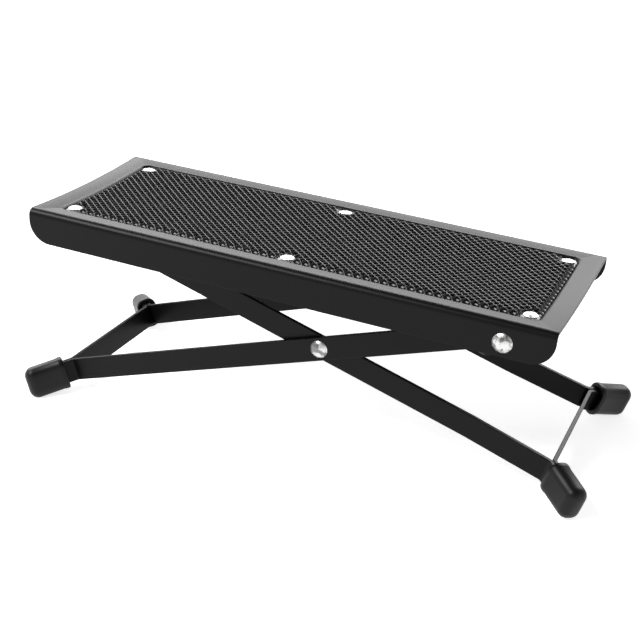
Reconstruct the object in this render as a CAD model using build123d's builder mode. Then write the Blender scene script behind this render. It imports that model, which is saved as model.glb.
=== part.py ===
from build123d import *
import math
import os

# A folding footrest: a rubber-faced steel tread on two crossed U-frames of flat bar.
# The outer frame hinges on the tread's flanges. The inner frame hinges on the outer one, and its
# cross rod drops into a notch of two toothed racks under the tread, which sets the height.
# Units are millimetres. X runs along the tread, Y from front to back, Z is up, and the floor is Z = 0.
# Depths on the tread are counted down from its two raised long edges.

os.makedirs("parts", exist_ok=True)

# The tread: one sheet-steel stamping
tread_length = 285.0
tread_width = 109.0
sheet = 1.5
flange_drop = 18.1
fold_inner_radius = 2.0
flange_corner = 12.0
trough_sag = 2.05
tread_slope = 3.75
tread_left = -147.09

# The mat fills a recess of the tread with soft shoulders and stands a little above the sheet
mat_end_border = 12.75
mat_side_border = 12.0
mat_thick = 3.2
mat_corner = 3.0
mat_edge = 2.4
mat_shift = 0.45
recess_depth = 2.8
recess_margin = 0.2
recess_shoulder = 2.0

# Ribs cross the mat both ways. Every fourth rib of the fine grid is drawn, and wider than it is.
# A plain round pad is left about each rivet.
rib_run = 18.48
rib_angle = 43.2
rib_width = 1.6
rib_height = 0.8
rib_pad_r = 6.2

# The mat's rivets, three along each side
rivet_inset_x = 4.55
rivet_inset_y = 4.55
rivet_head_r = 3.3
rivet_head_h = 1.2
rivet_bed = 1.2
dimple_foot_r = 3.6
dimple_r = 4.3
rivet_shank_r = 1.9
rivet_tail_r = 2.8
rivet_tail_h = 1.1
burr_r = 3.6
burr_thick = 0.8

# The flat bar of both frames, and how their corners are folded into ears
bar_width = 12.4
bar_thick = 2.0
bend_radius = 3.0
fold_gap = 0.6
bar_end_flat = 0.3
ear_reach = 19.0

# The linkage, measured along the tread and along each leg
pivot_from_right = 24.7
pivot_drop = 11.0
outer_angle = 19.5
inner_angle = 15.3
pivot_to_scissor = 100.6
pivot_to_bar = 258.2
scissor_to_rod = 106.0
arm_inset = 11.5
joggle_start = 10.2
joggle_end = 18.5
splay_start = 84.0
splay = 2.2

# Rivets and washers of the linkage
pivot_head_r = 5.0
pivot_head_h = 2.2
pivot_shank_r = 3.0
pivot_tail_r = 4.4
pivot_tail_h = 1.6
pivot_washer_r = 5.6
pivot_washer = 0.5
scissor_head_r = 4.7
scissor_head_h = 2.0
scissor_shank_r = 2.75
scissor_tail_r = 4.0
scissor_tail_h = 1.5
scissor_washer_r = 5.4
scissor_washer = 0.4
running = 0.06
side_play = 0.1

# The cross rod, its collars and the two racks
rod_r = 2.5
rod_overhang = 7.5
rod_chamfer = 0.6
collar_r = 4.2
collar_width = 3.0
rack_notches = 5
rest_notch = 1
rack_pitch = 7.0
rack_notch_depth = 2.9
rack_lift = 0.75
rack_from_arm = 2.6
rack_foot = 4.0
rack_end = 3.0
seat_share = 0.53
# One tooth and the notch on its right, as shares of the pitch and of the notch's depth
tooth_share = [(0.0, 0.0), (0.2, 0.0), (0.14, 0.72), (0.24, 0.95), (0.42, 1.0), (0.56, 0.9)]

# The rubber feet
foot_start = 5.6
foot_end_wall = 6.8
foot_height = 17.0
foot_thick = 10.4
foot_corner = 3.4
foot_taper = 1.6
foot_end_fillet = 3.6
lip_length = 1.8
lip_rise = 0.6
mouth_gap = 1.5
mouth_depth = 1.6
sole_dip = 0.28

# Where the rest follows from these sizes
fold_radius = fold_inner_radius + sheet
bar_end_radius = (bar_width - bar_end_flat) / 2
half_width = tread_width / 2
foot_length = ear_reach + foot_end_wall - foot_start
mat_length = tread_length - 2 * mat_end_border
mat_width = tread_width - 2 * mat_side_border
flange_inner = half_width - sheet
outer_arm_v = half_width - arm_inset - bar_thick / 2
arm_gap = scissor_washer + side_play
inner_arm_v = outer_arm_v - bar_thick - arm_gap
inner_bar_v = inner_arm_v + splay
hinge_end_v = flange_inner - pivot_washer - side_play - bar_thick / 2
trough_radius = (half_width**2 + trough_sag**2) / (2 * trough_sag)
half_fold = (bar_thick + fold_gap) / 2
root2 = math.sqrt(2)
quarter_turn = 90.0


def tipped(angle):
    """A direction in the XZ plane, tipped down from +X by an angle in degrees."""
    return Vector(math.cos(math.radians(angle)), 0, -math.sin(math.radians(angle)))


def corner_height(angle):
    """How high a frame's corner stands when the rubber cap on it rests on the floor."""
    fall = math.sin(math.radians(angle)) / root2
    reach = foot_length - foot_end_fillet
    shrink = reach * math.tan(math.radians(foot_taper)) + foot_end_fillet
    return (
        (foot_start + reach) * fall
        + (foot_height / 2 - shrink) * math.cos(math.radians(angle))
        + (foot_thick / 2 - shrink) * fall
        + foot_end_fillet
        - sole_dip
    )


# The tread stands as high as the outer frame, with its feet on the floor, puts the hinge line
outer_fall = outer_angle - tread_slope
inner_fall = inner_angle + tread_slope
pivot_height = corner_height(outer_fall) - pivot_to_bar * tipped(outer_fall).Z
tread_left_height = (
    pivot_height
    - (tread_length - pivot_from_right) * tipped(tread_slope).Z
    + pivot_drop * tipped(tread_slope).X
)

# The tread's own plane: local X runs along it, local Z is its normal. Its left end stands higher.
deck = Plane(
    origin=(tread_left, 0, tread_left_height),
    x_dir=tipped(tread_slope),
    z_dir=tipped(tread_slope - quarter_turn),
)


def on_deck(x, y, depth):
    """A point so far along the tread, off its middle line and below its long edges."""
    return deck.from_local_coords(Vector(x, y, -depth))


def side_plane(point):
    """Seen from the front: local X along the tread, local Y its normal, local Z to the front."""
    return Plane(origin=point, x_dir=deck.x_dir, z_dir=(0, -1, 0))


def cross_plane(point):
    """Across the tread: local X to the back, local Y up from the tread."""
    return Plane(origin=point, x_dir=(0, 1, 0), z_dir=deck.x_dir)


def turning_plane(point):
    """For pieces turned on a line across the tread: local X is the distance to the front."""
    return Plane(origin=point, x_dir=(0, -1, 0), z_dir=-deck.x_dir)


def leg_plane(point, direction):
    """A leg's plane: local X down the leg, local Y to the front."""
    return Plane(origin=point, x_dir=direction, z_dir=direction.cross(Vector(0, -1, 0)))


# The hinge line of the outer frame, the scissor line and the line of the cross rod. The inner
# frame is as long as its feet need to meet the floor.
outer_dir = tipped(2 * quarter_turn - outer_fall)
inner_dir = tipped(inner_fall)
pivot = on_deck(tread_length - pivot_from_right, 0, pivot_drop)
scissor = pivot + outer_dir * pivot_to_scissor
rod_line = scissor - inner_dir * scissor_to_rod
scissor_to_bar = (corner_height(inner_fall) - scissor.Z) / inner_dir.Z
outer_leg = leg_plane(pivot, outer_dir)
inner_leg = leg_plane(scissor, inner_dir)

# The levels of the trough, as radii about its middle line far above the tread
trough_middle = trough_radius - trough_sag
floor_radius = trough_radius + recess_depth
under_radius = floor_radius + sheet
mat_top_radius = floor_radius - mat_thick
mat_middle = tread_length / 2 + mat_shift
rivet_y = mat_width / 2 - rivet_inset_y
rivet_tilt = math.degrees(math.asin(rivet_y / trough_radius))
rivet_span = mat_length / 2 - rivet_inset_x
rivet_places = {
    "left": mat_middle - rivet_span,
    "middle": mat_middle,
    "right": mat_middle + rivet_span,
}

# The mat rivets and the washers under their tails. They stand square to the sheet, which slopes
# a little there, so each is drawn on a plane whose local Y is the sheet's own normal. The heads
# are pulled into the rubber and lie in dimples.
mat_rivets = []
dimples = []
for place, x in rivet_places.items():
    normal = deck.z_dir.rotate(Axis((0, 0, 0), deck.x_dir), -rivet_tilt)
    stem = Plane(
        origin=on_deck(x, 0, -trough_middle), x_dir=deck.x_dir, z_dir=deck.x_dir.cross(normal)
    )
    stem_axis = Axis(stem.origin, normal)
    washer_end = -(under_radius + burr_thick)
    rim = -(mat_top_radius + rivet_bed)
    with BuildPart() as front_rivet:
        with BuildSketch(stem):
            with BuildLine():
                Polyline(
                    (0, rim + rivet_head_h),
                    (0, washer_end - rivet_tail_h),
                    (rivet_tail_r, washer_end - rivet_tail_h),
                    (rivet_tail_r, washer_end),
                    (rivet_shank_r, washer_end),
                    (rivet_shank_r, rim),
                    (rivet_head_r, rim),
                )
                TangentArc((0, rim + rivet_head_h), (rivet_head_r, rim), tangent=(1, 0))
            make_face()
        revolve(axis=stem_axis)
    with BuildPart() as front_burr:
        with BuildSketch(stem):
            with Locations(((rivet_shank_r + burr_r) / 2, washer_end + burr_thick / 2)):
                Rectangle(burr_r - rivet_shank_r, burr_thick)
        revolve(axis=stem_axis)
    with BuildPart() as front_dimple:
        with BuildSketch(stem):
            Polygon(
                (0, rim),
                (dimple_foot_r, rim),
                (dimple_r, -mat_top_radius),
                (dimple_r, rim + 2 * rivet_head_h),
                (0, rim + 2 * rivet_head_h),
                align=None,
            )
        revolve(axis=stem_axis)
    with BuildPart() as back_dimple:
        mirror(front_dimple.part, about=Plane.XZ)
    dimples += [front_dimple.part, back_dimple.part]
    with BuildPart() as back_rivet:
        mirror(front_rivet.part, about=Plane.XZ)
    with BuildPart() as back_burr:
        mirror(front_burr.part, about=Plane.XZ)
    mat_rivets += [front_rivet.part, back_rivet.part]
    for name, piece in (
        (f"tread_rivet_{place}_front", front_rivet),
        (f"tread_rivet_{place}_back", back_rivet),
        (f"rivet_washer_{place}_front", front_burr),
        (f"rivet_washer_{place}_back", back_burr),
    ):
        piece.part.label = name
        export_step(piece.part, f"parts/{name}.step")


def dished(top_radius, bottom_radius, length, width, corner):
    """A slab bent to the trough between two radii, with rounded corners, under the mat's middle."""
    with BuildPart() as slab:
        with BuildSketch(cross_plane(on_deck(mat_middle - length / 2, 0, 0))):
            with Locations((0, trough_middle)):
                Circle(bottom_radius)
                Circle(top_radius, mode=Mode.SUBTRACT)
            Rectangle(width, flange_drop, mode=Mode.INTERSECT)
        extrude(amount=length)
        fillet(slab.edges().filter_by(Axis((0, 0, 0), deck.z_dir)), corner)
    return slab.part


def trough_level(point):
    """How far a point lies below the trough's top surface, square to it."""
    local = deck.to_local_coords(point)
    return math.hypot(local.Y, local.Z - trough_middle) - trough_radius


# 2. The tread: a folded channel with a shallow trough for a top and a pressed recess for the mat
recess_length = mat_length + 2 * recess_margin
recess_width = mat_width + 2 * recess_margin
recess_corner = mat_corner + recess_margin
with BuildPart() as footplate:
    with BuildSketch(cross_plane(deck.origin)) as section:
        with Locations((0, (trough_sag - flange_drop) / 2)):
            Rectangle(tread_width, flange_drop + trough_sag)
        with Locations((0, trough_middle)):
            Circle(trough_radius, mode=Mode.SUBTRACT)
        fillet(section.vertices().sort_by(Axis.Y)[-2:], fold_radius)
        with BuildSketch(mode=Mode.PRIVATE) as hollow:
            with Locations((0, (trough_sag - flange_drop) / 2)):
                Rectangle(2 * flange_inner, flange_drop + trough_sag)
            with Locations((0, trough_middle)):
                Circle(trough_radius + sheet, mode=Mode.SUBTRACT)
            fillet(hollow.vertices().sort_by(Axis.Y)[-2:], fold_inner_radius)
        add(hollow.sketch, mode=Mode.SUBTRACT)
    extrude(amount=tread_length)
    fillet(footplate.edges().filter_by(Axis.Y), flange_corner)
    add(
        dished(
            trough_radius + sheet / 2,
            under_radius,
            recess_length + 2 * sheet,
            recess_width + 2 * sheet,
            recess_corner + sheet,
        )
    )
    boss_foot = footplate.edges(Select.LAST).filter_by(
        lambda edge: all(abs(trough_level(edge @ end) - sheet) < sheet / 10 for end in (0, 1))
    )
    boss_edge = footplate.edges(Select.LAST).filter_by(
        lambda edge: all(
            abs(trough_level(edge @ end) - recess_depth - sheet) < sheet / 10 for end in (0, 1)
        )
    )
    fillet(boss_edge, sheet)
    fillet(boss_foot, recess_shoulder - sheet)
    add(
        dished(
            trough_radius - trough_sag, floor_radius, recess_length, recess_width, recess_corner
        ),
        mode=Mode.SUBTRACT,
    )
    rim = footplate.edges(Select.LAST).filter_by(
        lambda edge: all(abs(trough_level(edge @ end)) < sheet / 10 for end in (0, 1))
    )
    fillet(rim, recess_shoulder)
    for rivet in mat_rivets:
        add(rivet, mode=Mode.SUBTRACT)
    with BuildSketch(side_plane(pivot)):
        Circle(pivot_shank_r)
    extrude(amount=tread_width, both=True, mode=Mode.SUBTRACT)
footplate.part.label = "footplate"
export_step(footplate.part, "parts/footplate.step")

# 3. The mat lies in the recess and follows the trough
rib_length = mat_width / math.sin(math.radians(rib_angle))
rib_count = 2 * math.ceil((mat_length + rib_length) / rib_run / 2) + 1
with BuildPart() as rib_hollows:
    add(
        dished(
            mat_top_radius - trough_sag,
            mat_top_radius + rib_height,
            mat_length - 2 * mat_edge,
            mat_width - 2 * mat_edge,
            mat_corner,
        )
    )
    with BuildSketch(Plane(origin=on_deck(mat_middle, 0, 0), x_dir=deck.x_dir, z_dir=deck.z_dir)):
        for lean in (rib_angle, -rib_angle):
            with GridLocations(rib_run, 0, rib_count, 1):
                Rectangle(rib_length + rib_run, rib_width, rotation=lean)
        with GridLocations(rivet_span, 2 * rivet_y, len(rivet_places), 2):
            Circle(rib_pad_r)
    extrude(amount=flange_drop, both=True, mode=Mode.SUBTRACT)

with BuildPart() as tread_mat:
    add(dished(mat_top_radius, floor_radius, mat_length, mat_width, mat_corner))
    top_edge = tread_mat.edges().filter_by(
        lambda edge: all(
            abs(trough_level(edge @ end) + mat_thick - recess_depth) < sheet / 10 for end in (0, 1)
        )
    )
    fillet(top_edge, mat_edge)
    add(rib_hollows.part, mode=Mode.SUBTRACT)
    for piece in mat_rivets + dimples:
        add(piece, mode=Mode.SUBTRACT)
tread_mat.part.label = "tread_mat"
export_step(tread_mat.part, "parts/tread_mat.step")


# Each frame is one flat bar bent on edge-parallel lines. Its path is drawn from one free end to the
# middle of the cross-bar and mirrored. At the corner the bar is doubled back into a flat ear.
def bar_path(lead_in, bar_s, arm_v):
    """Half of a bar's middle line: lead-in points, the arm, the folded ear and the cross-bar."""
    ear_end = ear_reach - half_fold - bar_thick / 2
    arm_turn = (bar_s - root2 * half_fold, arm_v)
    arm_fold = (bar_s + (ear_end - half_fold) / root2, arm_v + (ear_end + half_fold) / root2)
    ear_tip = (bar_s + (ear_end + half_fold) / root2, arm_v + (ear_end + half_fold) / root2)
    bar_fold = (bar_s + (ear_end + half_fold) / root2, arm_v + (ear_end - half_fold) / root2)
    bar_turn = (bar_s, arm_v - root2 * half_fold)
    arm_run = FilletPolyline(*lead_in, arm_turn, arm_fold, radius=bend_radius)
    ear_turn = ThreePointArc(arm_fold, ear_tip, bar_fold)
    bar_run = FilletPolyline(bar_fold, bar_turn, (bar_s, 0), radius=bend_radius)
    return [arm_run, ear_turn, bar_run]


# 4. The outer frame: its two ends are joggled out to the flanges, close to the hinge
with BuildPart() as outer_frame:
    with BuildSketch(outer_leg):
        with BuildLine():
            bar_path(
                [
                    (-bar_width / 2, hinge_end_v),
                    (joggle_start, hinge_end_v),
                    (joggle_end, outer_arm_v),
                ],
                pivot_to_bar,
                outer_arm_v,
            )
            mirror(about=Plane.XZ)
        trace(line_width=bar_thick)
    extrude(amount=bar_width / 2, both=True)
    ends = outer_frame.edges().filter_by(Axis.Y).filter_by(lambda edge: edge.length < bar_width)
    fillet(ends, bar_end_radius)
    with BuildSketch(side_plane(pivot)):
        Circle(pivot_shank_r + running)
    extrude(amount=tread_width, both=True, mode=Mode.SUBTRACT)
    with BuildSketch(side_plane(scissor)):
        Circle(scissor_shank_r)
    extrude(amount=tread_width, both=True, mode=Mode.SUBTRACT)
outer_frame.part.label = "outer_frame"
export_step(outer_frame.part, "parts/outer_frame.step")

# 5. The inner frame: its arms run a little closer together, so that they fold between the outer
# ones, and spread again near the cross-bar. Their ends hold the cross rod.
with BuildPart() as inner_frame:
    with BuildSketch(inner_leg):
        with BuildLine():
            bar_path(
                [(-scissor_to_rod - bar_width / 2, inner_arm_v), (splay_start, inner_arm_v)],
                scissor_to_bar,
                inner_bar_v,
            )
            mirror(about=Plane.XZ)
        trace(line_width=bar_thick)
    extrude(amount=bar_width / 2, both=True)
    ends = inner_frame.edges().filter_by(Axis.Y).filter_by(lambda edge: edge.length < bar_width)
    fillet(ends, bar_end_radius)
    with BuildSketch(side_plane(scissor)):
        Circle(scissor_shank_r + running)
    extrude(amount=tread_width, both=True, mode=Mode.SUBTRACT)
    with BuildSketch(side_plane(rod_line)):
        Circle(rod_r)
    extrude(amount=tread_width, both=True, mode=Mode.SUBTRACT)
inner_frame.part.label = "inner_frame"
export_step(inner_frame.part, "parts/inner_frame.step")


def rivet_outline(tail_start, tail_r, tail_h, shank_r, head_start, head_r, head_h):
    """Half of a domed rivet lying across the tread: tail, shank and head, closed on its axis."""
    Polyline(
        (head_start + head_h, 0),
        (tail_start - tail_h, 0),
        (tail_start - tail_h, tail_r),
        (tail_start, tail_r),
        (tail_start, shank_r),
        (head_start, shank_r),
        (head_start, head_r),
    )
    TangentArc((head_start + head_h, 0), (head_start, head_r), tangent=(0, 1))


# 6. The pivot rivets, headed outside the flanges, and the washers that keep the bar off the sheet
with BuildPart() as pivot_rivet_front:
    with BuildSketch(turning_plane(pivot)):
        with BuildLine():
            rivet_outline(
                hinge_end_v - bar_thick / 2 - side_play,
                pivot_tail_r,
                pivot_tail_h,
                pivot_shank_r,
                half_width,
                pivot_head_r,
                pivot_head_h,
            )
        make_face()
    revolve(axis=Axis(pivot, (0, 1, 0)))
pivot_rivet_front.part.label = "pivot_rivet_front"
export_step(pivot_rivet_front.part, "parts/pivot_rivet_front.step")

with BuildPart() as pivot_rivet_back:
    mirror(pivot_rivet_front.part, about=Plane.XZ)
pivot_rivet_back.part.label = "pivot_rivet_back"
export_step(pivot_rivet_back.part, "parts/pivot_rivet_back.step")

with BuildPart() as pivot_washer_front:
    with BuildSketch(side_plane(pivot - Vector(0, flange_inner, 0))):
        Circle(pivot_washer_r)
        Circle(pivot_shank_r, mode=Mode.SUBTRACT)
    extrude(amount=-pivot_washer)
pivot_washer_front.part.label = "pivot_washer_front"
export_step(pivot_washer_front.part, "parts/pivot_washer_front.step")

with BuildPart() as pivot_washer_back:
    mirror(pivot_washer_front.part, about=Plane.XZ)
pivot_washer_back.part.label = "pivot_washer_back"
export_step(pivot_washer_back.part, "parts/pivot_washer_back.step")

# 7. The scissor rivets, tight in the outer frame, and the washers between the two frames
with BuildPart() as scissor_rivet_front:
    with BuildSketch(turning_plane(scissor)):
        with BuildLine():
            rivet_outline(
                inner_arm_v - bar_thick / 2 - side_play,
                scissor_tail_r,
                scissor_tail_h,
                scissor_shank_r,
                outer_arm_v + bar_thick / 2,
                scissor_head_r,
                scissor_head_h,
            )
        make_face()
    revolve(axis=Axis(scissor, (0, 1, 0)))
scissor_rivet_front.part.label = "scissor_rivet_front"
export_step(scissor_rivet_front.part, "parts/scissor_rivet_front.step")

with BuildPart() as scissor_rivet_back:
    mirror(scissor_rivet_front.part, about=Plane.XZ)
scissor_rivet_back.part.label = "scissor_rivet_back"
export_step(scissor_rivet_back.part, "parts/scissor_rivet_back.step")

with BuildPart() as scissor_washer_front:
    with BuildSketch(side_plane(scissor - Vector(0, outer_arm_v - bar_thick / 2, 0))):
        Circle(scissor_washer_r)
        Circle(scissor_shank_r, mode=Mode.SUBTRACT)
    extrude(amount=-scissor_washer)
scissor_washer_front.part.label = "scissor_washer_front"
export_step(scissor_washer_front.part, "parts/scissor_washer_front.step")

with BuildPart() as scissor_washer_back:
    mirror(scissor_washer_front.part, about=Plane.XZ)
scissor_washer_back.part.label = "scissor_washer_back"
export_step(scissor_washer_back.part, "parts/scissor_washer_back.step")

# 8. The cross rod reaches past both arms into the racks; a collar locks each arm on it
rod_half = inner_arm_v + bar_thick / 2 + rod_overhang
with BuildPart() as cross_rod:
    with BuildSketch(side_plane(rod_line)):
        Circle(rod_r)
    extrude(amount=rod_half, both=True)
    chamfer(cross_rod.edges(), rod_chamfer)
cross_rod.part.label = "cross_rod"
export_step(cross_rod.part, "parts/cross_rod.step")

with BuildPart() as rod_collar_front:
    with BuildSketch(side_plane(rod_line - Vector(0, inner_arm_v - bar_thick / 2, 0))):
        Circle(collar_r)
        Circle(rod_r, mode=Mode.SUBTRACT)
    extrude(amount=-collar_width)
rod_collar_front.part.label = "rod_collar_front"
export_step(rod_collar_front.part, "parts/rod_collar_front.step")

with BuildPart() as rod_collar_back:
    mirror(rod_collar_front.part, about=Plane.XZ)
rod_collar_back.part.label = "rod_collar_back"
export_step(rod_collar_back.part, "parts/rod_collar_back.step")

# 9. The racks: angle strips welded under the tread. The steep side of each notch faces right, so
# the weight on the tread, which drives the rod to the left, holds it in its notch.
rod_on_deck = deck.to_local_coords(rod_line)
tip_depth = -rod_on_deck.Z - rod_r - rack_lift
first_notch = rod_on_deck.X - (rest_notch + seat_share) * rack_pitch
rack_left = first_notch - rack_end
rack_right = first_notch + rack_notches * rack_pitch + rack_end
teeth = [
    (first_notch + (notch + run) * rack_pitch, -tip_depth + rise * rack_notch_depth)
    for notch in range(rack_notches)
    for run, rise in tooth_share
]
rack_face = outer_arm_v + bar_thick / 2 + rack_from_arm
with BuildPart() as rack_front:
    with BuildSketch(side_plane(on_deck(0, -rack_face, 0))):
        with BuildLine():
            Polyline(
                (rack_left, -sheet / 2),
                (rack_left, -tip_depth),
                *teeth,
                (first_notch + rack_notches * rack_pitch, -tip_depth),
                (rack_right, -tip_depth),
                (rack_right, -sheet / 2),
                close=True,
            )
        make_face()
    extrude(amount=sheet)
    with BuildSketch(side_plane(on_deck(0, -rack_face, 0))):
        with Locations(((rack_left + rack_right) / 2, -sheet - sheet / 2)):
            Rectangle(rack_right - rack_left, 2 * sheet)
    extrude(amount=rack_foot)
    add(footplate.part, mode=Mode.SUBTRACT)
rack_front.part.label = "rack_front"
export_step(rack_front.part, "parts/rack_front.step")

with BuildPart() as rack_back:
    mirror(rack_front.part, about=Plane.XZ)
rack_back.part.label = "rack_back"
export_step(rack_back.part, "parts/rack_back.step")


# 10. The rubber feet are pushed over the ears, at 45 degrees to the leg. Each rests on the floor
# on a small flat of its own.
def foot(leg, bar_s, arm_v):
    """The front foot of a leg: a rounded, tapered cap with a raised lip round its slot."""
    outward = (leg.x_dir + leg.y_dir).normalized()
    corner = leg.from_local_coords(Vector(bar_s, arm_v, 0))
    mouth = Plane(origin=corner + outward * foot_start, x_dir=leg.z_dir, z_dir=outward)
    slot_width = 2 * bar_thick + fold_gap
    with BuildPart() as cap:
        with BuildSketch(mouth):
            RectangleRounded(foot_height, foot_thick, foot_corner)
        extrude(amount=foot_length, taper=foot_taper)
        tip = cap.faces().sort_by(Axis(mouth.origin, outward))[-1]
        fillet(tip.edges(), foot_end_fillet)
        with BuildSketch(mouth):
            RectangleRounded(
                foot_height + 2 * lip_rise, foot_thick + 2 * lip_rise, foot_corner + lip_rise
            )
        extrude(amount=lip_length)
        with BuildSketch(mouth):
            Rectangle(bar_width, slot_width)
        extrude(amount=ear_reach - foot_start, mode=Mode.SUBTRACT)
        with BuildSketch(mouth):
            Rectangle(bar_width + mouth_gap, slot_width + 2 * mouth_gap)
        extrude(amount=mouth_depth, mode=Mode.SUBTRACT)
        with BuildSketch(Plane.XY):
            with Locations((corner.X, corner.Y)):
                Rectangle(2 * ear_reach + 2 * foot_length, 2 * ear_reach + 2 * foot_length)
        extrude(amount=-foot_height, mode=Mode.SUBTRACT)
    return cap.part


with BuildPart() as foot_left_front:
    add(foot(outer_leg, pivot_to_bar, outer_arm_v))
foot_left_front.part.label = "foot_left_front"
export_step(foot_left_front.part, "parts/foot_left_front.step")

with BuildPart() as foot_left_back:
    mirror(foot_left_front.part, about=Plane.XZ)
foot_left_back.part.label = "foot_left_back"
export_step(foot_left_back.part, "parts/foot_left_back.step")

with BuildPart() as foot_right_front:
    add(foot(inner_leg, scissor_to_bar, inner_bar_v))
foot_right_front.part.label = "foot_right_front"
export_step(foot_right_front.part, "parts/foot_right_front.step")

with BuildPart() as foot_right_back:
    mirror(foot_right_front.part, about=Plane.XZ)
foot_right_back.part.label = "foot_right_back"
export_step(foot_right_back.part, "parts/foot_right_back.step")
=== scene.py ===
# %% [markdown]
# # A folding footrest in Blender
#
# The footrest is a shallow trough of sheet steel on two crossed frames of flat bar. Nearly
# everything on it is black: satin powder coat on the steel, a ribbed rubber mat, and rubber caps
# for feet. Only the rivets shine. A black thing shows its shape by what it reflects, so most of
# this lesson is about finishes and soft light.
#
# The solids come from the frame and stay as they are. Here they get their finishes. The mat is
# modelled again with its grid of small pits, the rivets that hold it get flatter faces, and the
# four rubber caps get softer corners.

# %% The frame
import math

import bpy
import numpy as np
from mathutils import Matrix, Vector


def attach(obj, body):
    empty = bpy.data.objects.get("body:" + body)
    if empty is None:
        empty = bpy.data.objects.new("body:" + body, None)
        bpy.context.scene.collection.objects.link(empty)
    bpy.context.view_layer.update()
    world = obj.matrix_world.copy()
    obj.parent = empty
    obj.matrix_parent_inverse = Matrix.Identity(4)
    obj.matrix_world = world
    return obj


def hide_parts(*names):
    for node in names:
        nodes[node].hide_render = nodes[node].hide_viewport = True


mm = 0.001
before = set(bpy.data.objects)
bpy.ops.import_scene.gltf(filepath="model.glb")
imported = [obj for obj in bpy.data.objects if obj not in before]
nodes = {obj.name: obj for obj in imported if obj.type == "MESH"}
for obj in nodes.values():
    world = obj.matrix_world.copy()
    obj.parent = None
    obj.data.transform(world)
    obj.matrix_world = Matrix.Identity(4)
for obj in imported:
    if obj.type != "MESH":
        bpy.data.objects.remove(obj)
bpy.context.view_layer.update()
bpy.ops.object.select_all(action="DESELECT")

# %% [markdown]
# ## Colours and nodes
#
# Colours are picked as hex values, which are sRGB. A shader works in linear light, so one
# function turns the one into the other. Linear numbers could be typed in as they are, but hex
# values can be read off any colour picker. A second function adds a node with its settings and
# links, and every finish below is built with it. An input is given by its name, or as i and its
# number where names are long or shared.

# %% Colour and node helpers
def hex_colour(code):
    parts = [int(code[i:i + 2], 16) / 255 for i in (1, 3, 5)]
    return tuple(c / 12.92 if c <= 0.04045 else ((c + 0.055) / 1.055) ** 2.4 for c in parts) + (1,)


def add_node(tree, kind, settings=(), **inputs):
    node = tree.nodes.new(kind)
    for name, value in dict(settings).items():
        setattr(node, name, value)
    for name, value in inputs.items():
        by_number = name[1:].isdigit()
        socket = node.inputs[int(name[1:]) if by_number else name.replace("_", " ")]
        if isinstance(value, bpy.types.NodeSocket):
            tree.links.new(value, socket)
        else:
            socket.default_value = value
    return node


def new_finish(name, colour, roughness, **sockets):
    material = bpy.data.materials.new(name)
    material.use_nodes = True
    shader = material.node_tree.nodes["Principled BSDF"]
    shader.inputs["Base Color"].default_value = hex_colour(colour)
    shader.inputs["Roughness"].default_value = roughness
    for socket, value in sockets.items():
        shader.inputs[socket.replace("_", " ")].default_value = value
    return material, material.node_tree, shader


def dress(piece, material):
    piece.data.materials.clear()
    piece.data.materials.append(material)


print("helpers ready")

# %% [markdown]
# ## Powder coat on the bars
#
# The bars are sprayed with a dry powder that is baked into a tough satin skin. It could be one
# flat black, but three small things make it look like a coat. The powder flows together into
# faint humps, about one to a millimetre, called orange peel. It pulls back a little from sharp
# edges and rounds them, which the Bevel node draws, so that each edge catches a thin light line.
# And seen at a low angle a glossy coat would mirror the white floor as a grey haze, so the
# roughness climbs there. The specular level is low for the same reason.

# %% Satin black powder coat
coat_black = "#080809"
coat_roughness = 0.34
coat_specular = 0.135
peel_per_mm = 0.9
coat, tree, shader = new_finish("satin black powder coat", coat_black, coat_roughness,
                                Specular_IOR_Level=coat_specular)
place = add_node(tree, "ShaderNodeTexCoord").outputs["Object"]
peel = add_node(tree, "ShaderNodeTexNoise", Vector=place, Scale=peel_per_mm / mm, Detail=2.0)
edge = add_node(tree, "ShaderNodeBevel", {"samples": 6}, Radius=0.9 * mm)
bump = add_node(tree, "ShaderNodeBump", Strength=0.06, Distance=0.2 * mm, Height=peel.outputs[0],
                Normal=edge.outputs[0])
tree.links.new(bump.outputs[0], shader.inputs["Normal"])
slant = add_node(tree, "ShaderNodeLayerWeight", Blend=0.5)
matt = add_node(tree, "ShaderNodeMapRange", Value=slant.outputs["Facing"], i1=0.6, i2=0.85,
                i3=coat_roughness, i4=0.8)
tree.links.new(matt.outputs[0], shader.inputs["Roughness"])
print(coat.name, len(tree.nodes), "nodes")

# %% [markdown]
# ## Powder coat on the tread
#
# The tread has the same coat, but its sheet was pressed down in the middle for the mat, and that
# leaves a soft swelling round the recess, where the light on the border fades. The solid's mesh
# stays as it is, so a bump draws the swelling. Object coordinates are moved and turned onto the
# tread's own plane, and the distance beyond the recess is the greater of two distances, one along
# and one across, with the corners smoothed.

# %% The pressed tread's coat
deck_slope = math.radians(3.75)
pressed_coat, tree, shader = new_finish("black powder coat on the pressed tread", coat_black,
                                        coat_roughness, Specular_IOR_Level=coat_specular)
place = add_node(tree, "ShaderNodeTexCoord").outputs["Object"]
peel = add_node(tree, "ShaderNodeTexNoise", Vector=place, Scale=peel_per_mm / mm, Detail=2.0)
edge = add_node(tree, "ShaderNodeBevel", {"samples": 6}, Radius=0.7 * mm)
bump = add_node(tree, "ShaderNodeBump", Strength=0.06, Distance=0.2 * mm, Height=peel.outputs[0],
                Normal=edge.outputs[0])
on_deck = add_node(tree, "ShaderNodeMapping", {"vector_type": "TEXTURE"}, Vector=place,
                   Location=(-4.45 * mm, 0, 100.8 * mm), Rotation=(0, deck_slope, 0))
axes = add_node(tree, "ShaderNodeSeparateXYZ", Vector=on_deck.outputs[0])

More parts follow.
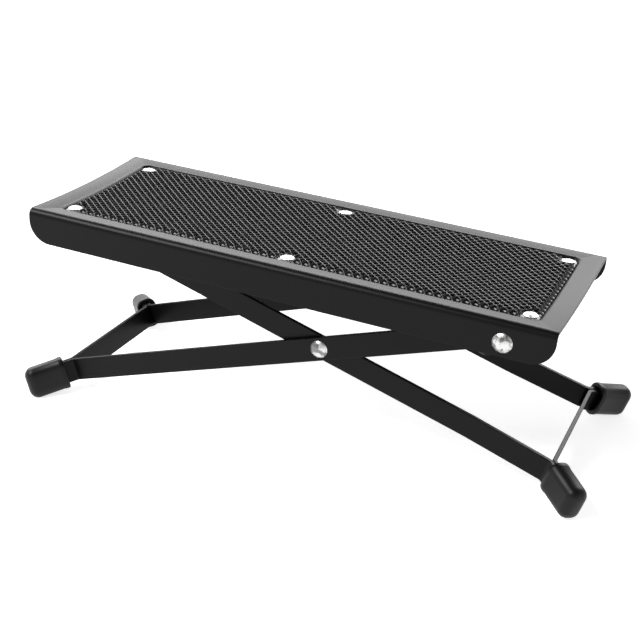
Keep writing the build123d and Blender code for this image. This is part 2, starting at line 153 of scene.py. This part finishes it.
# %% The swelling round the recess
beyond = []
for axis, recess_half in (("X", 130.5 * mm), ("Y", 43.3 * mm)):
    size = add_node(tree, "ShaderNodeMath", {"operation": "ABSOLUTE"}, i0=axes.outputs[axis])
    beyond.append(add_node(tree, "ShaderNodeMath", {"operation": "SUBTRACT"},
                           i0=size.outputs[0], i1=recess_half))
away = add_node(tree, "ShaderNodeMath", {"operation": "SMOOTH_MAX"}, i0=beyond[0].outputs[0],
                i1=beyond[1].outputs[0], i2=2 * mm)
lifted = add_node(tree, "ShaderNodeMapRange", {"interpolation_type": "SMOOTHSTEP"},
                  Value=away.outputs[0], i1=-8 * mm, i2=10 * mm, i3=1.0, i4=0.0)
rim = add_node(tree, "ShaderNodeBump", Strength=1.0, Distance=1.5 * mm, Height=lifted.outputs[0],
               Normal=bump.outputs[0])
tree.links.new(rim.outputs[0], shader.inputs["Normal"])
print(pressed_coat.name, len(tree.nodes), "nodes")

# %% [markdown]
# ## Two kinds of rubber
#
# The caps are moulded rubber. A blasted mould leaves a grain of a few tenths of a millimetre,
# and the eye sees only that the highlights are soft. More roughness alone could do that, but a
# bump also breaks up their edges. The grain is drawn coarser than real, about 1.4 to a millimetre,
# because a finer one would fall between the pixels.
#
# The mat is a harder, shinier rubber. Its ribs are so narrow that they show as bright lines, and
# for that the rubber has to be fairly smooth. One noise gives it both a faint grain, again coarser
# than real, and small changes of gloss, as shoes would.

# %% Rubber of the caps
rubber, tree, shader = new_finish("moulded black rubber", "#0a0a0b", 0.4, Specular_IOR_Level=0.22)
place = add_node(tree, "ShaderNodeTexCoord").outputs["Object"]
grain = add_node(tree, "ShaderNodeTexNoise", Vector=place, Scale=1.4 / mm, Detail=3.0)
bump = add_node(tree, "ShaderNodeBump", Strength=0.15, Distance=0.2 * mm, Height=grain.outputs[0])
tree.links.new(bump.outputs[0], shader.inputs["Normal"])
print(rubber.name, len(tree.nodes), "nodes")

# %% Rubber of the mat
mat_rubber, tree, shader = new_finish("ribbed black rubber", "#060607", 0.24,
                                      Specular_IOR_Level=0.40)
place = add_node(tree, "ShaderNodeTexCoord").outputs["Object"]
grain = add_node(tree, "ShaderNodeTexNoise", Vector=place, Scale=0.7 / mm, Detail=3.0)
bump = add_node(tree, "ShaderNodeBump", Strength=0.08, Distance=0.1 * mm, Height=grain.outputs[0])
tree.links.new(bump.outputs[0], shader.inputs["Normal"])
worn = add_node(tree, "ShaderNodeMapRange", Value=grain.outputs[0], i1=0.35, i2=0.65,
                i3=0.20, i4=0.28)
tree.links.new(worn.outputs[0], shader.inputs["Roughness"])
print(mat_rubber.name, len(tree.nodes), "nodes")

# %% [markdown]
# ## Nickel and zinc
#
# The large rivets are nickel plated and were closed with a hammer or a press, which leaves dents
# of about 2.5 mm. One even grey would turn the domes into mirror balls, so bump and roughness
# come from one noise, and what stands proud is also scuffed duller. Darker patches of about 7 mm
# are painted into the plating's colour as a painted reflection of dark things nearby: a coarser
# noise mixes two greys.
#
# The mat's six rivets are smaller and smoother and show as clean bright discs. The washers, the
# rod and its collars are plain zinc, which has a cloudy gloss. Metals keep Blender's own IOR,
# because their colour already says how much they reflect.

# %% Dented nickel of the large rivets
nickel, tree, shader = new_finish("nickel plating on a hammered rivet", "#c8c8c4", 0.3,
                                  Metallic=1.0)
place = add_node(tree, "ShaderNodeTexCoord").outputs["Object"]
dents = add_node(tree, "ShaderNodeTexNoise", Vector=place, Scale=0.42 / mm, Detail=4.0,
                 Roughness=0.6)
bump = add_node(tree, "ShaderNodeBump", Strength=0.6, Distance=0.4 * mm, Height=dents.outputs[0])
tree.links.new(bump.outputs[0], shader.inputs["Normal"])
haze = add_node(tree, "ShaderNodeMapRange", Value=dents.outputs[0], i1=0.35, i2=0.65,
                i3=0.22, i4=0.46)
tree.links.new(haze.outputs[0], shader.inputs["Roughness"])
# Painted reflection: this coarse noise paints dark grey patches into the nickel's colour.
dark_reflection_noise = add_node(tree, "ShaderNodeTexNoise", Vector=place, Scale=0.15 / mm, Detail=3.0,
                 Roughness=0.65)
dark_reflection_mask = add_node(tree, "ShaderNodeMapRange", Value=dark_reflection_noise.outputs[0], i1=0.42, i2=0.50)
plating = add_node(tree, "ShaderNodeMix", {"data_type": "RGBA"}, i0=dark_reflection_mask.outputs[0],
                   i6=hex_colour("#7a7a79"), i7=hex_colour("#cdcdcc"))
tree.links.new(plating.outputs[2], shader.inputs["Base Color"])
print(nickel.name, len(tree.nodes), "nodes")

# %% Smooth nickel of the mat's rivets
smooth_nickel, tree, shader = new_finish("smooth nickel plating", "#dcdcd8", 0.3, Metallic=1.0)
place = add_node(tree, "ShaderNodeTexCoord").outputs["Object"]
dents = add_node(tree, "ShaderNodeTexNoise", Vector=place, Scale=0.5 / mm, Detail=3.0)
bump = add_node(tree, "ShaderNodeBump", Strength=0.12, Distance=0.2 * mm, Height=dents.outputs[0])
tree.links.new(bump.outputs[0], shader.inputs["Normal"])
haze = add_node(tree, "ShaderNodeMapRange", Value=dents.outputs[0], i1=0.35, i2=0.65,
                i3=0.26, i4=0.38)
tree.links.new(haze.outputs[0], shader.inputs["Roughness"])
print(smooth_nickel.name, len(tree.nodes), "nodes")

# %% Zinc
zinc, tree, shader = new_finish("zinc-plated steel", "#b4b6b8", 0.35, Metallic=1.0)
place = add_node(tree, "ShaderNodeTexCoord").outputs["Object"]
grain = add_node(tree, "ShaderNodeTexNoise", Vector=place, Scale=0.35 / mm, Detail=4.0)
haze = add_node(tree, "ShaderNodeMapRange", Value=grain.outputs[0], i1=0.3, i2=0.7,
                i3=0.27, i4=0.46)
tree.links.new(haze.outputs[0], shader.inputs["Roughness"])
bump = add_node(tree, "ShaderNodeBump", Strength=0.1, Distance=0.2 * mm, Height=grain.outputs[0])
tree.links.new(bump.outputs[0], shader.inputs["Normal"])
print(zinc.name, len(tree.nodes), "nodes")

# %% [markdown]
# ## Dress the solids
#
# Every solid gets the finish of the real piece. A list by hand would do, but pieces of one kind
# have names that begin alike, so a rule by name is shorter. The mat and the feet are dressed too,
# although other pieces take their place further down.

# %% A finish for each solid
for name, node in nodes.items():
    if name == "tread_mat" or name.startswith("foot_"):
        dress(node, rubber)
    elif name.startswith("tread_rivet"):
        dress(node, smooth_nickel)
    elif name.startswith(("pivot_rivet", "scissor_rivet")):
        dress(node, nickel)
    elif name == "footplate":
        dress(node, pressed_coat)
    elif name in ("outer_frame", "inner_frame", "rack_front", "rack_back"):
        dress(node, coat)
    else:
        dress(node, zinc)
print("dressed", sorted(nodes))

# %% [markdown]
# ## The tread's own plane
#
# The tread slopes down to the right and is a trough across. It is easier to model the mat flat,
# with x along the tread and z straight up from it, and to bend and tip it at the end. The deck
# matrix does the tipping: its origin is the middle of the tread's left end. The sizes below are
# those of the recess in the sheet, less a hair of room.

# %% Sizes of the tread and the mat
deck = Matrix.Translation((-147.09 * mm, 0, 110.156 * mm)) @ Matrix.Rotation(deck_slope, 4, "Y")
trough_radius = 725.476 * mm
trough_sag = 2.05 * mm
mat_middle = 142.95 * mm
mat_half_length = 129.9 * mm
mat_half_width = 42.65 * mm
mat_corner = 3.0 * mm
rivet_rows = (-37.95 * mm, 37.95 * mm)
rivet_stations = (-125.2 * mm, 0.0, 125.2 * mm)
print("mat", 2 * mat_half_length / mm, "by", 2 * mat_half_width / mm, "mm")

# %% [markdown]
# ## The ribbed mat
#
# The real mat is moulded with two sets of thin ribs that cross and leave diamond-shaped pits,
# 4.62 mm long and 4.34 mm wide. A bump map could draw them, but at this low angle the ribs hide
# what is behind them, and only a real shape does that. So one pit is modelled, repeated, and
# joined to a grid.
#
# One pit is a circle of eight corners pushed out to a diamond. Each inset steps inwards and down:
# a hint of a flat top, a rounded shoulder, and then a steep wall. The ribs that run from front
# left to back right have lower shoulders than the others, so they catch less light. Points on
# the pit's own axes belong to both sets and stay.

# %% One pit of the grid
pit_length, pit_width = 4.62 * mm, 4.34 * mm
bpy.ops.mesh.primitive_circle_add(vertices=8, radius=mm, fill_type="NGON")
mat = bpy.context.object
mat.name = "ribbed_mat"
for vertex in mat.data.vertices:
    x, y = vertex.co.x, vertex.co.y
    vertex.co.x = pit_length / 2 * x / (abs(x) + abs(y))
    vertex.co.y = pit_width / 2 * y / (abs(x) + abs(y))
bpy.ops.object.mode_set(mode="EDIT")
bpy.ops.mesh.select_all(action="SELECT")
for step, drop in ((0.07, 0.012), (0.10, 0.08), (0.14, 0.36), (0.12, 0.62)):
    bpy.ops.mesh.inset(thickness=step * mm, depth=-drop * mm)
bpy.ops.object.mode_set(mode="OBJECT")

# %% Lower shoulders one way
shoulder_bottom, shoulder_top = -0.1 * mm, -0.005 * mm
off_axis = 1e-9
for vertex in mat.data.vertices:
    x, y, z = vertex.co
    if x * y < -off_axis and shoulder_bottom < z < shoulder_top:
        vertex.co.z -= 0.025 * mm
print("one pit:", len(mat.data.vertices), "vertices, depth",
      round(-min(v.co.z for v in mat.data.vertices) / mm, 2), "mm")

# %% [markdown]
# Diamonds fill a plane when a second grid stands half a pit over and half a pit up from the
# first. A loop could place every pit, but two Array modifiers, one along and one across, make the
# first grid at once, and the second is a copy of it. Together they are larger than the mat. They
# are set about its middle, and then moved by about half a millimetre each way, so that the ribs
# meet the rivets as on the real mat.

# %% Repeat the pit
def repeat(piece, count, along):
    array = piece.modifiers.new("repeat", "ARRAY")
    array.count = count
    array.use_relative_offset = False
    array.use_constant_offset = True
    array.constant_offset_displace = along
    bpy.ops.object.modifier_apply(modifier=array.name)


columns, rows = 58, 22
shift_along, shift_across = -0.59 * mm, 0.525 * mm
repeat(mat, columns, (pit_length, 0, 0))
repeat(mat, rows, (0, pit_width, 0))
bpy.ops.object.duplicate()
bpy.ops.transform.translate(value=(pit_length / 2, pit_width / 2, 0))
bpy.context.view_layer.objects.active = mat
mat.select_set(True)
bpy.ops.object.join()
mat = bpy.context.object
mat.location = (shift_along - columns / 2 * pit_length, shift_across - rows / 2 * pit_width, 0)
bpy.ops.object.transform_apply(location=True, rotation=True, scale=True)
bpy.ops.object.mode_set(mode="EDIT")
bpy.ops.mesh.select_all(action="SELECT")
bpy.ops.mesh.remove_doubles(threshold=0.01 * mm)
bpy.ops.object.mode_set(mode="OBJECT")
print("grid:", len(mat.data.polygons), "faces", mat.dimensions)

# %% [markdown]
# Such mats are usually cut from a larger sheet, straight through the pits. A boolean could do
# that, but a bisect that clears what lies outside is quicker and leaves a clean edge. More
# bisects, which clear nothing, run beside it: a rim of closely spaced lines lets the edge be
# rounded off later.

# %% Trim the grid and cut its rim
rim_lines = (0.5, 1.0, 1.5, 1.9, 2.2, 2.5, 2.8, 3.2)
bpy.ops.object.mode_set(mode="EDIT")
for edge, outward in (((mat_half_length, 0, 0), (1, 0, 0)), ((-mat_half_length, 0, 0), (-1, 0, 0)),
                      ((0, mat_half_width, 0), (0, 1, 0)), ((0, -mat_half_width, 0), (0, -1, 0))):
    bpy.ops.mesh.select_all(action="SELECT")
    bpy.ops.mesh.bisect(plane_co=edge, plane_no=outward, clear_outer=True)
    for inside in rim_lines:
        bpy.ops.mesh.select_all(action="SELECT")
        line = Vector(edge) - Vector(outward) * inside * mm
        bpy.ops.mesh.bisect(plane_co=line, plane_no=outward)
bpy.ops.object.mode_set(mode="OBJECT")
print("trimmed:", len(mat.data.polygons), "faces", mat.dimensions)

# %% [markdown]
# The mat's corners are round, with a radius of 3 mm. What lies beyond the arc is pulled in onto
# it. Moving many vertices by a rule is quick with NumPy, so two small functions read a piece's
# points and write them back.

# %% Round the corners
def points_of(piece):
    flat = np.empty(len(piece.data.vertices) * 3)
    piece.data.vertices.foreach_get("co", flat)
    return flat.reshape(-1, 3)


def set_points(piece, points):
    piece.data.vertices.foreach_set("co", points.ravel())
    piece.data.update()


corner_middle = (mat_half_length - mat_corner, mat_half_width - mat_corner)
points = points_of(mat)
past = np.abs(points[:, :2]) - corner_middle
in_corner = (past > 0).all(axis=1)
reach = np.hypot(*past[in_corner].T)
shrink = np.minimum(1, mat_corner / reach)
sign = np.sign(points[in_corner, :2])
points[in_corner, :2] -= sign * past[in_corner] * (1 - shrink)[:, None]
set_points(mat, points)
print("moved", in_corner.sum(), "points into the corners")

# %% [markdown]
# So far the mat is a skin. A Solidify modifier would give its underside the same pits, but it is
# taken to lie flat on the steel. So the open edge alone is pushed down to make the wall,
# flattened, and filled.

# %% The wall and the underside
underside = -3.6 * mm
bpy.ops.object.mode_set(mode="EDIT")
bpy.ops.mesh.select_mode(type="EDGE")
bpy.ops.mesh.select_all(action="DESELECT")
bpy.ops.mesh.select_non_manifold()
bpy.ops.mesh.extrude_edges_move(TRANSFORM_OT_translate={"value": (0, 0, underside)})
bpy.ops.transform.resize(value=(1, 1, 0))
bpy.ops.mesh.edge_face_add()
bpy.ops.object.mode_set(mode="OBJECT")
points = points_of(mat)
lowest = points[:, 2] < -1.5 * mm
top = ~lowest
points[lowest, 2] = underside
print("points on the underside:", lowest.sum())

# %% [markdown]
# Near its edge the mat falls away in a slope of about 50 degrees, and the ribs melt into it. At
# the front the slope mirrors the dark part of the room overhead, and that draws the black line
# along the mat. A bevel would stumble over so many cut ribs, so the points are moved by a rule:
# the drop follows a hyperbola, which is flat at first and straight soon after.

# %% Slope the edge
rib_end, rib_fade, least_depth = 0.6, 1.5, 0.1
slope_width, steepness, ease = 2.75 * mm, 1.25, 0.45 * mm
past = np.abs(points[:, :2]) - corner_middle
beyond_corner = np.hypot(*np.maximum(past, 0).T)
inside = mat_corner - np.where((past > 0).all(axis=1), beyond_corner, past.max(axis=1))
ribbed = np.clip((inside / mm - rib_end) / rib_fade, 0, 1)
points[top, 2] *= (least_depth + (1 - least_depth) * ribbed)[top]
over = np.maximum(slope_width - inside, 0)
points[top, 2] -= (steepness * (np.sqrt(over**2 + ease**2) - ease))[top]
print("edge falls", round((points[top, 2].max() - points[top, 2].min()) / mm, 2), "mm")

# %% [markdown]
# Each rivet pulls the soft mat down in a dimple. It could be sculpted, but a rule makes all six
# alike. Up to 3.7 mm from the rivet's middle the mat is pressed flat, and from there it rises in
# a smooth S, to its full height at 6.2 mm. The trough comes last: every point sinks by as much as
# an arc of 725 mm radius lies under its chord, and the mat is lifted so that its ribs stand 1 mm
# above the sheet.

# %% Press the dimples and bend the mat
dimple_edge, dimple_foot, dimple_level = 6.2, 3.7, -1.75 * mm
mat_rise = 1.0 * mm
for x in rivet_stations:
    for y in rivet_rows:
        away = np.hypot(points[:, 0] - x, points[:, 1] - y) / mm
        pressed = np.clip((dimple_edge - away) / (dimple_edge - dimple_foot), 0, 1)
        pressed = pressed * pressed * (3 - 2 * pressed)
        points[top, 2] += (pressed * (dimple_level - points[:, 2]))[top]
points[:, 2] -= np.sqrt(trough_radius**2 - points[:, 1] ** 2) - (trough_radius - trough_sag)
points[:, 2] += mat_rise
points[:, 0] += mat_middle
set_points(mat, points)
mat.data.transform(deck)
bpy.ops.object.shade_smooth_by_angle(angle=math.radians(62))

# %% Put the mat in place
dress(mat, mat_rubber)
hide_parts("tread_mat")
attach(mat, "tread")
mat.data.calc_loop_triangles()

# %% [markdown]
# ## The faces of the mat's rivets
#
# The heads are pressed nearly flat, so they mirror one bright piece of the room and look like
# white discs. The solid's rounder dome would mirror all of the room and look grey, so a flatter
# face lies over it. A cylinder is its start, turned to stand square on the trough, and a low stack
# of insets shapes it: a small chamfer at the rim, then a gentle rise of half a millimetre.
#
# Faces and edges are picked in code by their place or normal. Blender wants the picking done in
# object mode and the tools used in edit mode, so one helper goes to and fro.

# %% Pick faces or edges
def pick(piece, kind, wanted):
    bpy.ops.object.mode_set(mode="EDIT")
    bpy.ops.mesh.select_mode(type=kind)
    bpy.ops.mesh.select_all(action="DESELECT")
    bpy.ops.object.mode_set(mode="OBJECT")
    for part in piece.data.polygons if kind == "FACE" else piece.data.edges:
        part.select = wanted(part)
    bpy.ops.object.mode_set(mode="EDIT")


# %% Six rivet faces
face_radius, face_height, face_middle = 3.4 * mm, 0.7 * mm, -0.5 * mm
for number, x in enumerate(rivet_stations, start=1):
    for side, y in zip(("front", "back"), rivet_rows):
        bpy.ops.object.select_all(action="DESELECT")
        bpy.ops.mesh.primitive_cylinder_add(vertices=40, radius=face_radius, depth=face_height)
        face = bpy.context.object
        face.name = f"rivet_face_{number}_{side}"
        pick(face, "FACE", lambda part: part.normal.z > 0.9)
        for step, lift in ((0.12, 0.06), (0.4, 0.08), (0.9, 0.18), (0.9, 0.16), (0.6, 0.08)):
            bpy.ops.mesh.inset(thickness=step * mm, depth=lift * mm)
        bpy.ops.object.mode_set(mode="OBJECT")
        seat = Vector((mat_middle + x, y, face_middle))
        seat.z -= math.sqrt(trough_radius**2 - seat.y**2) - (trough_radius - trough_sag)
        lean = Matrix.Rotation(math.asin(-seat.y / trough_radius), 4, "X")
        face.data.transform(deck @ Matrix.Translation(seat) @ lean)
        bpy.ops.object.shade_smooth_by_angle(angle=math.radians(50))
        dress(face, smooth_nickel)
        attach(face, "tread")
        print(face.name, len(face.data.polygons), "faces")

# %% [markdown]
# ## The rubber caps
#
# A cap is a soft block with a slot for the bar's ear, and it stands on one of its narrow sides.
# The solid could be smoothed, but a block with a bevel has evenly spaced faces, and its corners
# are easily set. It starts as a cube stretched to its real size. All edges are bevelled but those
# at the mouth, with a radius so large that the narrow sides become nearly half round.

# %% The block
cap_height, cap_thick, cap_length, cap_round = 17.8 * mm, 11.4 * mm, 22.0 * mm, 4.9 * mm
bpy.ops.object.select_all(action="DESELECT")
bpy.ops.mesh.primitive_cube_add(size=1, location=(0, 0, cap_length / 2),
                                scale=(cap_height, cap_thick, cap_length))
bpy.ops.object.transform_apply(location=True, rotation=True, scale=True)
cap = bpy.context.object
heights = [v.co.z for v in cap.data.vertices]
pick(cap, "EDGE", lambda part: max(heights[i] for i in part.vertices) > mm)
bpy.ops.mesh.bevel(offset=cap_round, segments=7, profile=0.5, affect="EDGES")

# %% [markdown]
# A thin bead runs round the mouth and keeps it from tearing. Bisects cut rings near the mouth,
# and the rings are pushed outwards by a half ellipse, 0.3 mm high. Outwards is away from the
# core, the flat part of the section between its round corners. Three insets then shape the mouth:
# a low swelling, and a slot 2 mm deep, which is as far as one can see past the ear.

# %% The bead
lip_levels = (0.3, 0.8, 1.3, 1.8, 2.3, 2.7, 3.0)
lip_middle, lip_half, lip_rise = 1.4, 1.6, 0.3 * mm
for level in lip_levels:
    bpy.ops.mesh.select_all(action="SELECT")
    bpy.ops.mesh.bisect(plane_co=(0, 0, level * mm), plane_no=(0, 0, 1))
bpy.ops.object.mode_set(mode="OBJECT")
points = points_of(cap)
core = np.array([cap_height / 2 - cap_round, cap_thick / 2 - cap_round])
outward = points[:, :2] - np.clip(points[:, :2], -core, core)
length = np.maximum(np.hypot(*outward.T), 1e-9)
along_lip = (points[:, 2] / mm - lip_middle) / lip_half
rise = lip_rise * np.sqrt(np.clip(1 - along_lip**2, 0, 1))
points[:, :2] += outward / length[:, None] * rise[:, None]
set_points(cap, points)

# %% The mouth
pick(cap, "FACE", lambda part: part.normal.z < -0.9 and part.center.z < 0.01 * mm)
for step, depth in ((0.9, 0.25), (0.9, -0.25), (0.2, -2.0)):
    bpy.ops.mesh.inset(thickness=step * mm, depth=depth * mm)
bpy.ops.object.mode_set(mode="OBJECT")
print("one cap:", len(cap.data.polygons), "faces", cap.dimensions)

# %% [markdown]
# At each lower corner the bar is folded so that an ear points outwards, halfway between the
# directions of the leg and of the cross-bar. A copy of the cap is turned to that direction, and
# its mouth stands 4.6 mm beyond the corner. Rubber squashes flat where it stands, so what lies
# below the floor is cut off with a bisect and filled. The front cap at the right sits 1 mm higher
# on its ear than the others, as the photograph shows. The vector called upright points down, so
# it is taken away.

# %% Four caps on the ears
corners = {"left": ((-136.574, 42.0, 12.069), (-0.96246, 0, -0.27144), "outer"),
           "right": ((136.590, 41.7, 12.899), (0.94523, 0, -0.32640), "inner")}
cap_start = 4.6 * mm
for end, (corner_point, down_leg, body) in corners.items():
    for side, across in (("front", -1), ("back", 1)):
        bpy.ops.object.select_all(action="DESELECT")
        cap.select_set(True)
        bpy.context.view_layer.objects.active = cap
        bpy.ops.object.duplicate()
        foot = bpy.context.object
        foot.name = f"rubber_cap_{end}_{side}"
        down = Vector(down_leg)
        out = (down + Vector((0, across, 0))).normalized()
        upright = down.cross(Vector((0, -1, 0))).normalized()
        sideways = out.cross(upright)
        x, y, z = corner_point
        place = Vector((x, across * y, z)) * mm + out * cap_start
        if foot.name == "rubber_cap_right_front":
            place -= upright * 1.0 * mm
        turn = Matrix((upright, sideways, out)).transposed().to_4x4()
        foot.data.transform(Matrix.Translation(place) @ turn)
        bpy.ops.object.mode_set(mode="EDIT")
        bpy.ops.mesh.select_all(action="SELECT")
        bpy.ops.mesh.bisect(plane_co=(0, 0, 0), plane_no=(0, 0, -1), clear_outer=True,
                            use_fill=True)
        bpy.ops.object.mode_set(mode="OBJECT")
        for vertex in foot.data.vertices:
            vertex.co.z = max(vertex.co.z, 0)
        bpy.ops.object.shade_smooth_by_angle(angle=math.radians(50))
        dress(foot, rubber)
        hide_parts(f"foot_{end}_{side}")
        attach(foot, body)
bpy.data.objects.remove(cap)

# %% [markdown]
# ## The stage
#
# The footrest stands on a white floor that runs out of sight. Lamps strong enough to make paper
# pure white would wash out the black, so the floor also glows, but only where the camera, a gloss
# or a glass looks at it. The glow doesn't light the part, and a faint shadow stays.

# %% Floor
bpy.ops.object.select_all(action="DESELECT")
bpy.ops.mesh.primitive_plane_add(size=40, location=(0, 0, 0))
floor = bpy.context.object
floor.name = "floor"
paper, tree, shader = new_finish("white paper floor", "#f7f7f7", 0.9)
rays = add_node(tree, "ShaderNodeLightPath")
seen = add_node(tree, "ShaderNodeMath", {"operation": "ADD"}, i0=rays.outputs["Is Camera Ray"],
                i1=rays.outputs["Is Glossy Ray"])
seen = add_node(tree, "ShaderNodeMath", {"operation": "ADD", "use_clamp": True},
                i0=seen.outputs[0], i1=rays.outputs["Is Transmission Ray"])
glow = add_node(tree, "ShaderNodeMath", {"operation": "MULTIPLY"}, i0=seen.outputs[0], i1=0.72)
shader.inputs["Emission Color"].default_value = (1, 1, 1, 1)
tree.links.new(glow.outputs[0], shader.inputs["Emission Strength"])
dress(floor, paper)
print("floor", floor.dimensions)

# %% [markdown]
# The room is light near the horizon and dark overhead. What faces up then stays black, and only
# what leans towards the lamps shines. A picture of a studio could light it too, but its details
# would show in the gloss, and a gradient by height has none.

# %% World
world = bpy.data.worlds.new("studio")
bpy.context.scene.world = world
world.use_nodes = True
tree = world.node_tree
background = tree.nodes["Background"]
direction = add_node(tree, "ShaderNodeTexCoord").outputs["Generated"]
height = add_node(tree, "ShaderNodeSeparateXYZ", Vector=direction).outputs["Z"]
level = add_node(tree, "ShaderNodeMapRange", {"interpolation_type": "SMOOTHSTEP"},
                 Value=height, i1=0.15, i2=0.75, i3=1.0, i4=0.15)
tree.links.new(level.outputs[0], background.inputs["Color"])
print("world", len(tree.nodes), "nodes")

# %% [markdown]
# Two softboxes make the shine, because small lamps would show as hot dots in a satin coat. A long
# one hangs behind the footrest, where the tread and the ribs mirror it into the camera: it gives
# the grey border and the bright lines of the mat. It is seen only in reflections, or it would
# bleach the floor. A smaller one hangs high in front, to the left. It lights the floor and
# whatever faces the front.

# %% Softboxes
def softbox(name, place, aim, width, height, radiance):
    light = bpy.data.lights.new(name, "AREA")
    light.shape = "RECTANGLE"
    light.size, light.size_y = width, height
    light.energy = radiance * math.pi * width * height
    holder = bpy.data.objects.new(name, light)
    bpy.context.scene.collection.objects.link(holder)
    holder.location = place
    holder.rotation_euler = (Vector(aim) - Vector(place)).to_track_quat("-Z", "Y").to_euler()
    holder.visible_camera = False
    return holder


def around(azimuth, elevation, distance):
    a, e = math.radians(azimuth), math.radians(elevation)
    return Vector((math.sin(a) * math.cos(e), math.cos(a) * math.cos(e), math.sin(e))) * distance


back_card = softbox("back softbox", around(-22, 34.5, 3.0), (0, 0, 0.1), 6.0, 1.2, 8.0)
back_card.visible_diffuse = False
softbox("front softbox", around(-129, 50, 3.0), (0, 0, 0.08), 1.6, 1.0, 16.0)

# %% [markdown]
# ## The camera
#
# The camera stands at the front right, a little above, with a long lens. It could be placed by
# eye, but these numbers were fitted to the footrest's corners in the photograph, so that the
# perspective agrees. The Standard view transform shows colours as they are written.

# %% Camera
camera_data = bpy.data.cameras.new("camera")
camera = bpy.data.objects.new("camera", camera_data)
bpy.context.scene.collection.objects.link(camera)
camera_data.lens = 68.33
camera_data.sensor_width = 36.0
azimuth, elevation, roll = (math.radians(angle) for angle in (23.477, 24.165, 0.442))
camera.matrix_world = (
    Matrix.Translation((0.23623, -0.55064, 0.31960))
    @ Matrix.Rotation(azimuth, 4, "Z")
    @ Matrix.Rotation(math.pi / 2 - elevation, 4, "X")
    @ Matrix.Rotation(roll, 4, "Z")
)
bpy.context.scene.camera = camera
bpy.context.scene.view_settings.view_transform = "Standard"
print("camera at", camera.matrix_world.translation)
